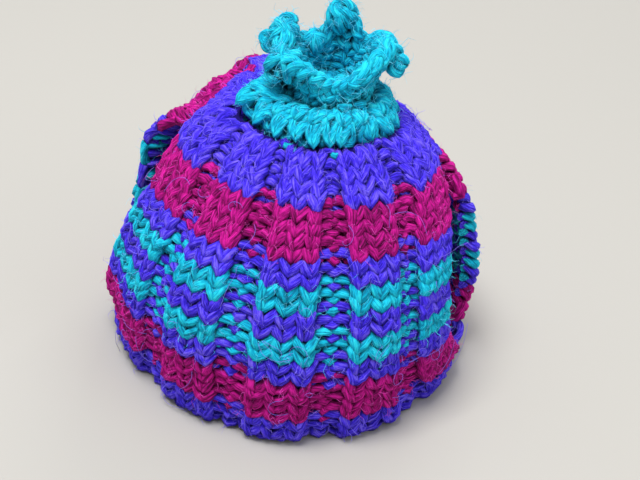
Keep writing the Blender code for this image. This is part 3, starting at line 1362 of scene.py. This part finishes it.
@dataclass
class KnittedPanel:
    """One panel of K3 P2 rib: yarn by dye, and the thin cloth behind it."""

    name: str
    node: str
    form: PanelForm
    needles: Needles
    basket: Basket
    fibres: Tuple[int, int, int] = (4800, 3500, 2200)
    first_row: float = 1.25
    row_step: float = 0.945
    decrease_row: int = 20
    sheet: Sheet = Sheet((0.205, 0.130), 0.0246, "stretched", "the pot inside")

    def dyes(self) -> List[Dye]:
        """Dye of each row from the hem up."""
        return [dye for dye, rows in STRIPES for _ in range(rows)]

    def plan(self, row: int) -> List[Tuple[Face, float, float]]:
        """Stitches across one row; near the top the purls are decreased to one.

        Args:
            row: row number from the hem.

        Returns:
            Face, start and end place of each stitch.
        """
        knits, purls, half = (3, 2, 1.72) if row < self.decrease_row else (3, 1, 1.95)
        centres = self.form.rib_centres
        cuts: List[Tuple[Face, float, float, int]] = [(Face.KNIT, 0.0, centres[0] - half, 1)]
        for k, centre in enumerate(centres):
            cuts.append((Face.KNIT, centre - half, centre + half, knits))
            if k < len(centres) - 1:
                cuts.append((Face.PURL, centre + half, centres[k + 1] - half, purls))
        cuts.append((Face.KNIT, centres[-1] + half, float(self.form.stitches), 1))
        out = []
        for face, start, end, count in cuts:
            step = (end - start) / count
            out += [(face, start + step * i, start + step * (i + 1)) for i in range(count)]
        return out

    def knit(self) -> List[bpy.types.Object]:
        """Knit every row and spin one piece per dye."""
        rows = self.dyes()
        by_dye: Dict[Dye, List[Strand]] = {dye: [] for dye in Dye}
        for row, dye in enumerate(rows):
            turn = 0
            if row + 1 < len(rows) and rows[row + 1] is dye:
                turn = 1 if row % 2 == 0 else -1
            strand = self.needles.course(
                self.form,
                self.plan(row),
                self.first_row + row * self.row_step,
                self.row_step,
                turn=turn,
            )
            by_dye[dye].append(strand)
        by_dye[rows[0]].append(self.cast_on())
        return [
            self.basket.yarn(f"{self.name}_{dye.value}_yarn", strands, dye)
            for dye, strands in by_dye.items()
        ]

    def cast_on(self) -> Strand:
        """The rope-like cast-on edge along the hem."""
        gauge = self.needles.gauge
        count = int(self.form.stitches * gauge.samples * 0.6)
        u = np.linspace(0.1, self.form.stitches - 0.1, count)
        phase = u * 2 * np.pi
        v = 0.52 + 0.10 * np.sin(phase)
        d = -gauge.sink + 1.2 * np.cos(phase)
        return Strand(off_surface(self.form, u, v, d))

    def shade_cloth(self) -> bpy.types.Object:
        """The thin closed cloth the yarn wraps, striped like it in dark copies of the dyes: painted
        shade between the strands.
        """
        columns, rings = 75, 48
        half = 0.6            # half the cloth's thickness, mm
        u = np.linspace(0.15, self.form.stitches - 0.15, columns + 1)
        v = np.linspace(0.45, self.form.rows + 0.3, rings + 1)
        grid_u, grid_v = np.meshgrid(u, v)
        flat_u, flat_v = grid_u.ravel(), grid_v.ravel()
        sink = self.needles.gauge.sink
        outer = off_surface(self.form, flat_u, flat_v, np.full(len(flat_u), -sink + half))
        inner = off_surface(self.form, flat_u, flat_v, np.full(len(flat_u), -sink - half))
        width = columns + 1
        size = len(outer)
        dyes = list(Dye)
        rows = self.dyes()
        faces, slots = [], []
        for k in range(rings):
            middle = (v[k] + v[k + 1]) / 2
            row = int(np.clip(round((middle - self.first_row) / self.row_step), 0, len(rows) - 1))
            for j in range(columns):
                a = k * width + j
                b = a + 1
                c = b + width
                e = a + width
                faces.append((a, b, c, e))
                faces.append((a + size, e + size, c + size, b + size))
                slots += [dyes.index(rows[row])] * 2
        rim = [(j, j + 1) for j in range(columns)]
        rim += [(k * width + columns, (k + 1) * width + columns) for k in range(rings)]
        rim += [(rings * width + j + 1, rings * width + j) for j in range(columns)]
        rim += [((k + 1) * width, k * width) for k in range(rings)]
        for a, b in rim:
            faces.append((b, a, a + size, b + size))
            slots.append(0)
        # Painted shade: each row's cloth takes the dark copy of its dye, standing for the shadow
        # between the strands.
        finishes = [self.basket.palette.shade_cloth[dye] for dye in dyes]
        points = np.concatenate([outer, inner])
        return cloth_mesh(self.name + "_cloth", points, faces, finishes, slots)

    def build(self) -> List[bpy.types.Object]:
        yarn = self.knit()
        yarn += [
            self.basket.fuzz(piece, self.fibres[k], dye, SEED + 3 * k)
            for k, (dye, piece) in enumerate(zip(Dye, list(yarn)))
        ]
        cloth = self.shade_cloth()
        dress(yarn + [cloth], self.node)
        self.sheet.declare(cloth, yarn)
        LOG.info("%s: %d faces of yarn", self.name, sum(len(p.data.polygons) for p in yarn))
        return yarn


# --------------------------------------------------------------------------
# The crocheted crown
# --------------------------------------------------------------------------


def closed_shell(
    name: str, surface: Surface, span: Tuple[float, float], depth: float, wool: bpy.types.Material
) -> bpy.types.Object:
    """A thin closed ring of cloth that follows a surface right round.

    Args:
        name: name of the piece.
        surface: outer face for (u, v), u from 0 to 1 all the way round.
        span: lowest and highest v.
        depth: middle of the cloth below the face, in millimetres.
        wool: finish of the cloth.

    Returns:
        The shell as a mesh object.
    """
    columns, rings, half = 56, 13, 0.6
    u = np.arange(columns) / columns
    grid_u, grid_v = np.meshgrid(u, np.linspace(span[0], span[1], rings))
    flat_u, flat_v = grid_u.ravel(), grid_v.ravel()
    size = len(flat_u)
    layers = [
        off_surface(surface, flat_u, flat_v, np.full(size, -depth + side * half), 0.01)
        for side in (1.0, -1.0)
    ]
    faces = []
    for j in range(columns):
        after = (j + 1) % columns
        for k in range(rings - 1):
            a, b = k * columns + j, k * columns + after
            c, e = b + columns, a + columns
            faces.append((a, b, c, e))
            faces.append((a + size, e + size, c + size, b + size))
        faces.append((after, j, j + size, after + size))
        a, b = (rings - 1) * columns + j, (rings - 1) * columns + after
        faces.append((a, b, b + size, a + size))
    return cloth_mesh(name, np.concatenate(layers), faces, [wool])


@dataclass
class Crochet:
    """Rounds of crochet stitches on a surface that closes on itself."""

    surface: Surface
    needles: Needles

    def round(self, v: float, count: int, pitch: float, offset: float = 0.0) -> Strand:
        """One closed round: slanting stitches, with a bump here and there.

        Args:
            v: height of the round's middle.
            count: stitches in the round.
            pitch: v between one round and the next.
            offset: turns by which the round starts late.

        Returns:
            The strand of the whole round.
        """
        widths = 1 + 0.20 * self.needles.rng.normal(0, 1, count).clip(-1.6, 1.6)
        marks = np.concatenate([[0.0], np.cumsum(widths)]) / widths.sum() + offset
        faces = [
            Face.KNIT if self.needles.rng.random() < 0.95 else Face.PURL for _ in range(count)
        ]
        stitches = [(faces[i], marks[i], marks[i + 1]) for i in range(count)]
        return self.needles.course(self.surface, stitches, v, pitch, closed=True)


@dataclass
class Collar:
    """The crocheted collar that gathers the knitting round the neck."""

    basket: Basket
    rng: np.random.Generator
    form: CollarForm = field(default_factory=CollarForm)
    rounds: Tuple[Tuple[float, int], ...] = (
        # v, stitches
        (0.15, 21),
        (0.33, 19),
        (0.54, 17),
        (0.74, 15),
    )
    pitch: float = 0.26
    yarn_radius: float = 2.1
    fibres: int = 2200
    sheet: Sheet = Sheet((0.070, 0.070), 0.0019, "gathered", "the knitted panels")

    def pointed(self, count: int, root: float, edge: float) -> List[Strand]:
        """Long narrow loops that point outward, side by side round the collar.

        Args:
            count: loops in the round.
            root: v at which both legs go into the cloth.
            edge: v that the points of the loops reach, give or take.

        Returns:
            One strand per loop.
        """
        out = []
        turns = np.arange(count) / count + self.rng.normal(0, 0.10 / count, count)
        for turn in turns:
            tip = edge + self.rng.uniform(-0.09, 0.07)
            half = self.rng.uniform(0.28, 0.40) / count
            lean = self.rng.normal(0, 0.22) / count
            across = np.linspace(-1, 1, 13)
            near = 1 - np.abs(across) ** 1.25
            u = turn + half * across + lean * near
            v = root + (tip - root) * near
            d = 0.1 - 3.6 * np.abs(across) ** 3 - 1.2 * near**6
            out.append(Strand(off_surface(self.form, u, v, d, 0.008)))
        return out

    def build(self) -> List[bpy.types.Object]:
        gauge = Gauge(
            reach=1.02,
            purl_reach=0.80,
            swing=0.17,
            depth=1.7,
            sink=2.9,
            samples=16,
            unevenness=1.7,
            slope_step=0.008,
        )
        hook = Crochet(self.form, Needles(gauge, self.rng))
        strands = [
            hook.round(v, count, self.pitch, self.rng.uniform(0, 0.05))
            for v, count in self.rounds
        ]
        strands += self.pointed(23, 0.42, -0.10)
        strands += self.pointed(18, 0.80, 0.32)
        yarn = self.basket.yarn("collar_yarn", strands, Dye.TEAL, self.yarn_radius)
        fuzz = self.basket.fuzz(yarn, self.fibres, Dye.TEAL, SEED + 31)
        # Painted shade: the collar's cloth takes the dark teal that stands for the shadow between its
        # stitches.
        shade_cloth = self.basket.palette.shade_cloth[Dye.TEAL]
        cloth = closed_shell("collar_cloth", self.form, (0.04, 1.0), 3.4, shade_cloth)
        dress([yarn, fuzz, cloth], "crown_collar")
        self.sheet.declare(cloth, [yarn, fuzz])
        LOG.info("collar: %d faces of yarn", len(yarn.data.polygons))
        return [yarn]


@dataclass
class Flower:
    """The crocheted flower: walls, roped rim, wound petal tips and picots."""

    basket: Basket
    rng: np.random.Generator
    form: FlowerForm = field(default_factory=FlowerForm)
    rounds: Tuple[Tuple[float, int, float], ...] = (
        # v, stitches, pitch in v
        (-0.93, 5, 0.10),
        (-0.84, 8, 0.10),
        (-0.75, 11, 0.10),
        (-0.62, 12, 0.16),
        (-0.36, 13, 0.26),
        (-0.05, 14, 0.24),
        (0.20, 14, 0.24),
        (0.44, 15, 0.24),
        (0.68, 16, 0.24),
        (0.90, 17, 0.22),
    )
    yarn_radius: float = 1.85
    tip_radius: float = 1.75
    rope_turns: int = 15
    rope_size: float = 1.35       # mm from the rim's middle to each strand
    rope_gain: float = 0.65       # mm more round the petals
    rope_petal: Tuple[float, float] = (134.0, 4.0)  # mm: height where a petal starts, and its rise
    wall_fibres: int = 1800
    tip_fibres: int = 1300
    wraps: float = 3.8            # turns of yarn over the end of a petal
    leans: Tuple[float, ...] = (0.9, 0.3, 1.2, 2.0, 1.5)
    sheet: Sheet = Sheet((0.130, 0.030), 0.0026, "gathered", "the collar")

    def rope(self) -> List[Strand]:
        """Two strands laid round each other along the rim."""
        count = 420
        u = np.arange(count) / count
        height = self.form.rim(u)[1]
        wall = height - FLOWER_OUTLINE[-1, 2]
        low, rise = self.rope_petal
        petal = smooth_step((height - low) / rise)
        out = []
        for phase in (0.0, np.pi):
            turn = 2 * np.pi * self.rope_turns * u + phase + 0.5 * np.sin(2 * np.pi * 5 * u)
            size = self.rope_size + self.rope_gain * petal
            v = 1.0 + size * np.sin(turn) / np.maximum(wall, 8.0)
            d = -2.6 + size * np.cos(turn)
            out.append(Strand(off_surface(self.form, u, v, d, 0.01), True))
        return out

    def tip(self, petal: Sequence[float]) -> np.ndarray:
        """Middle of a petal's rolled tip.

        Args:
            petal: the petal's row of the table.

        Returns:
            Its place in millimetres.
        """
        a = math.radians(petal[0])
        reach = petal[2] - 2.6
        x, y = FLOWER_CENTRE
        return np.array([x + reach * math.cos(a), y + reach * math.sin(a), petal[3] - 1.3])

    def ball(self, petal: Sequence[float], lean: float) -> Strand:
        """Yarn wound over the end of a petal.

        Args:
            petal: the petal's row of the table.
            lean: how far the winding is turned, in radians.

        Returns:
            The wound strand.
        """
        count = 84
        radius = petal[4] - self.tip_radius * 0.75
        t = np.linspace(0, 1, count)
        turn = 2 * np.pi * self.wraps * t
        swivel = lean + 2.6 * t
        tip = 1.15 + 0.25 * np.sin(5.0 * t + lean)
        x = np.cos(turn)
        y = np.sin(turn) * np.cos(tip)
        z = np.sin(turn) * np.sin(tip)
        local = np.stack(
            [x * np.cos(swivel) - y * np.sin(swivel), x * np.sin(swivel) + y * np.cos(swivel), z],
            axis=1,
        )
        swell = radius * (1 + 0.10 * np.sin(7 * t + lean))
        return Strand((local * swell[:, None] + self.tip(petal)) * MM)

    def picot(self, middle: np.ndarray, axis: Vector, radius: float) -> Strand:
        """A small closed loop of yarn.

        Args:
            middle: its middle, in millimetres.
            axis: direction the loop faces.
            radius: its radius, in millimetres.

        Returns:
            The closed strand.
        """
        t = np.linspace(0, 2 * np.pi, 22, endpoint=False)
        flat = np.stack([np.cos(t), 0.86 * np.sin(t), 0.16 * np.sin(2 * t)], axis=1) * radius
        turned = np.array(axis.to_track_quat("Z", "Y").to_matrix())
        return Strand((flat @ turned.T + middle) * MM, True)

    def build(self) -> List[bpy.types.Object]:
        gauge = Gauge(
            reach=1.0,
            purl_reach=0.80,
            swing=0.25,
            depth=1.8,
            sink=2.7,
            samples=16,
            unevenness=2.2,
            slope_step=0.01,
        )
        hook = Crochet(self.form, Needles(gauge, self.rng))
        strands = [
            hook.round(v, count, pitch, self.rng.uniform(0, 0.05))
            for v, count, pitch in self.rounds
        ]
        strands += self.rope()
        walls = self.basket.yarn("flower_yarn", strands, Dye.TEAL, self.yarn_radius)
        strands = [self.ball(petal, lean) for petal, lean in zip(PETALS, self.leans)]
        right, top, _, left, front = (self.tip(petal) for petal in PETALS)
        picots = (
            # petal tip, away from it, facing, radius
            (right, (4.4, -4.0, -4.4), (0.5, -0.7, 0.5), 2.5),
            (right, (5.6, -3.0, -2.2), (0.2, -0.9, 0.3), 2.3),
            (top, (-0.5, -2.5, 4.0), (0.1, -0.8, 0.6), 3.3),
            (left, (-6.0, -1.2, -2.4), (-0.3, -0.8, 0.4), 2.1),
            (left, (-4.6, -2.0, -4.4), (0.1, -0.9, 0.3), 2.2),
            (left, (1.0, 0.5, 4.6), (0.2, -0.7, 0.7), 2.6),
            (front, (-3.0, -2.0, -3.0), (-0.6, -0.6, 0.4), 2.5),
        )
        strands += [
            self.picot(tip + away, Vector(facing), radius) for tip, away, facing, radius in picots
        ]
        tips = self.basket.yarn("petal_yarn", strands, Dye.TEAL, self.tip_radius)
        yarn = [walls, tips]
        yarn.append(self.basket.fuzz(walls, self.wall_fibres, Dye.TEAL, SEED + 37))
        yarn.append(self.basket.fuzz(tips, self.tip_fibres, Dye.TEAL, SEED + 39))
        # Painted shade: the flower's cloth takes the dark teal that stands for the shadow between its
        # stitches.
        shade_cloth = self.basket.palette.shade_cloth[Dye.TEAL]
        cloth = closed_shell("flower_cloth", self.form, (-0.98, 0.96), 3.0, shade_cloth)
        dress(yarn + [cloth], "crown_flower")
        self.sheet.declare(cloth, yarn)
        LOG.info("flower: %d faces of yarn", sum(len(p.data.polygons) for p in yarn))
        return yarn


# --------------------------------------------------------------------------
# Sewing and stray hairs
# --------------------------------------------------------------------------


@dataclass
class Sewing:
    """Overcast stitches that join the panels, and long stray hairs of the wool."""

    basket: Basket
    front: PanelForm
    back: PanelForm
    rng: np.random.Generator
    seam_rows: Tuple[float, ...] = (0.7, 1.5, 2.3, 20.6, 21.4, 22.2, 23.0)
    seam_radius: float = 1.5
    end_radius: float = 1.25
    hair_counts: Tuple[int, int, int] = (80, 60, 26)  # front, back, flower
    hair_length: float = 17.0
    hair_radius: float = 0.078
    ends: Tuple[Tuple[float, float, float], ...] = (
        # turn, reach, half width in turns
        (-0.036, 0.22, 0.010),
        (-0.016, 0.34, 0.007),
        (0.052, 0.30, 0.007),
    )

    def stitch(self, row: float, front_u: float, back_u: float) -> Strand:
        """One slanting stitch over the seam, from the front panel to the back.

        Args:
            row: row at which it leaves the front panel.
            front_u: place across the front panel.
            back_u: place across the back panel.

        Returns:
            The stitch's strand.
        """
        t = np.linspace(0, 1, 9)
        start = off_surface(self.front, np.array([front_u]), np.array([row]), np.array([-3.2]))[0]
        end = off_surface(self.back, np.array([back_u]), np.array([row + 0.5]), np.array([-3.2]))[0]
        middle = (start + end) / 2
        out = np.array([middle[0], middle[1], 0.0])
        out /= np.linalg.norm(out)
        bow = np.sin(np.pi * t)[:, None]
        line = start * (1 - t)[:, None] + end * t[:, None] + out * bow * 3.4 * MM
        return Strand(line)

    def sew(self) -> bpy.types.Object:
        """The overcast stitches on both sides."""
        strands = []
        for row in self.seam_rows:
            strands.append(self.stitch(row, 0.35, 24.65))
            strands.append(self.stitch(row, 24.65, 0.35))
        return self.basket.yarn("seam_yarn", strands, Dye.VIOLET, self.seam_radius)

    def loose_ends(self, form: CollarForm) -> bpy.types.Object:
        """Ends of the collar's yarn that show through the last knitted row.

        Args:
            form: shape of the collar.

        Returns:
            The ends as one mesh object.
        """
        strands = []
        for turn, reach, wide in self.ends:
            t = np.linspace(0, np.pi, 9)
            u = turn - wide * np.cos(t)
            v = -reach * np.sin(t) - 0.06
            d = -6.5 + 4.6 * np.sin(t)
            strands.append(Strand(off_surface(form, u, v, d, 0.008)))
        return self.basket.yarn("collar_ends", strands, Dye.TEAL, self.end_radius)

    def hairs(
        self, name: str, surface: Surface, count: int, span: Sequence[float], dye: Dye
    ) -> bpy.types.Object:
        """Long pale curls lying over a surface.

        Args:
            name: name of the piece.
            surface: outer face for (u, v).
            count: number of hairs.
            span: low u, high u, low v, high v of their roots.
            dye: which wool they come from.

        Returns:
            The hairs as one mesh object.
        """
        strands = []
        for _ in range(count):
            u0 = self.rng.uniform(span[0], span[1])
            v0 = self.rng.uniform(span[2], span[3])
            twice_u, twice_v = np.array([u0, u0]), np.array([v0, v0])
            root, lifted = off_surface(surface, twice_u, twice_v, np.array([0.0, 1.0]))
            normal = (lifted - root) / MM
            side = np.cross(normal, self.rng.normal(0, 1, 3))
            side /= np.linalg.norm(side)
            other = np.cross(normal, side)
            t = np.linspace(0, 1, 14)
            length = self.hair_length * self.rng.uniform(0.35, 1.2)
            turn = np.cumsum(np.cumsum(self.rng.normal(0, 0.11, 14)) + self.rng.normal(0, 0.12))
            x = np.cumsum(np.cos(turn)) / 14 * length
            y = np.cumsum(np.sin(turn)) / 14 * length
            rise = self.rng.uniform(0.6, 2.6) * np.sin(np.pi * t**0.7) + 0.1
            line = root + (
                side * x[:, None] + other * y[:, None] + normal * rise[:, None]
            ) * MM
            strands.append(Strand(line))
        thin = Spinner(radius=self.hair_radius, lobe=0.0, sides=3)
        return thin.spin(name, strands, self.basket.palette.fibre[dye])

    def build(self) -> None:
        """Sew the seams and let the stray hairs lie."""
        seams = self.sew()
        ends = self.loose_ends(CollarForm())
        front, back, crown = self.hair_counts
        cloth, petals = (1, 24, 1, 23), (0, 1, 0.1, 1.0)
        body_hairs = self.hairs("front_hairs", self.front, front, cloth, Dye.VIOLET)
        rear_hairs = self.hairs("back_hairs", self.back, back, cloth, Dye.VIOLET)
        crown_hairs = self.hairs("flower_hairs", FlowerForm(), crown, petals, Dye.TEAL)
        dress([seams, body_hairs], "front_panel")
        dress([rear_hairs], "back_panel")
        dress([ends], "crown_collar")
        dress([crown_hairs], "crown_flower")
        LOG.info("seams and stray hairs laid")


# --------------------------------------------------------------------------
# Light, floor and camera
# --------------------------------------------------------------------------


@dataclass
class Studio:
    """A pale floor, soft daylight and the camera."""

    elevation: float = 33.7
    roll: float = 7.05
    distance: float = 0.600
    lens: float = 80.3
    aim: Tuple[float, float, float] = (0.0095, 0.0001, 0.0501)

    def floor(self) -> None:
        """Lay the floor the hem rests on."""
        mesh = bpy.data.meshes.new("floor")
        half = 3.0
        mesh.from_pydata(
            [(-half, -half, 0), (half, -half, 0), (half, half, 0), (-half, half, 0)],
            [],
            [(0, 1, 2, 3)],
        )
        mesh.materials.append(Plain("pale_floor", "#BAB7B0", 0.85).material())
        lay("floor", mesh)

    def light(self, name: str, place: Tuple[float, float, float], size: float, power: float) -> None:
        """Hang one soft square light aimed at the cosy.

        Args:
            name: name of the light.
            place: where it hangs, in metres.
            size: side of the square, in metres.
            power: strength in watts.
        """
        lamp = bpy.data.lights.new(name, "AREA")
        lamp.size = size
        lamp.energy = power
        hung = bpy.data.objects.new(name, lamp)
        hung.location = place
        hung.rotation_mode = "QUATERNION"
        away = Vector(place) - Vector((0, 0, 0.07))
        hung.rotation_quaternion = away.to_track_quat("Z", "Y")
        bpy.context.scene.collection.objects.link(hung)

    def sky(self) -> None:
        """Overcast daylight: bright overhead, dimmer toward the horizon."""
        world = bpy.data.worlds.new("daylight")
        world.use_nodes = True
        tree = world.node_tree
        background = tree.nodes["Background"]
        place = add_node(tree, "ShaderNodeTexCoord")
        split = add_node(tree, "ShaderNodeSeparateXYZ", {}, Vector=place.outputs["Generated"])
        ramp = add_node(tree, "ShaderNodeValToRGB", {}, Fac=split.outputs["Z"])
        stops = ramp.color_ramp.elements
        stops[0].position = 0.0
        stops[0].color = linear("#4C5056")
        stops[1].position = 0.9
        stops[1].color = linear("#F6F8FC")
        tree.links.new(ramp.outputs["Color"], background.inputs["Color"])
        background.inputs["Strength"].default_value = 0.80
        bpy.context.scene.world = world

    def camera(self) -> None:
        """Look down on the front panel, the camera rolled a little."""
        up_angle = math.radians(self.elevation)
        turn = math.radians(self.roll)
        back = Vector((0.0, -math.cos(up_angle), math.sin(up_angle)))
        right = Vector((1.0, 0.0, 0.0))
        up = back.cross(right)
        rolled_right = right * math.cos(turn) + up * math.sin(turn)
        rolled_up = up * math.cos(turn) - right * math.sin(turn)
        place = Vector(self.aim) + back * self.distance
        matrix = Matrix((rolled_right, rolled_up, back)).transposed().to_4x4()
        matrix.translation = place
        lens = bpy.data.cameras.new("camera")
        lens.lens = self.lens
        lens.sensor_width = 36.0
        lens.clip_start = 0.01
        camera = bpy.data.objects.new("camera", lens)
        camera.matrix_world = matrix
        bpy.context.scene.collection.objects.link(camera)
        bpy.context.scene.camera = camera

    def build(self) -> None:
        """Set up everything round the cosy."""
        self.floor()
        self.sky()
        self.light("key_light", (-0.30, -0.35, 1.5), 0.6, 22.0)
        self.light("fill_light", (1.1, -0.6, 0.8), 0.9, 2.4)
        self.light("rim_light", (0.3, 1.2, 1.0), 0.8, 6.0)
        self.camera()
        bpy.context.scene.view_settings.view_transform = "Standard"


def main() -> None:
    """Build the cosy's looks in order."""
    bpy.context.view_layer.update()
    basket = Basket().lay_out()
    needles = Needles(Gauge(), np.random.default_rng(SEED))
    front = PanelForm(FRONT_EDGES, (-30.0, 0.0, 31.0), (0.72, 0.80))
    back = PanelForm(BACK_EDGES, (149.0, 180.0, 211.0), (0.72, 0.72), pull=2.7, pull_angle=236.0)
    KnittedPanel("front", "front_panel", front, needles, basket).build()
    KnittedPanel("back", "back_panel", back, needles, basket, (2400, 1700, 1000)).build()
    rng = np.random.default_rng(SEED + 1)
    Collar(basket, rng).build()
    Flower(basket, rng).build()
    basket.put_away()
    Sewing(basket, front, back, rng).build()
    Studio().build()


if __name__ == "__main__":
    main()
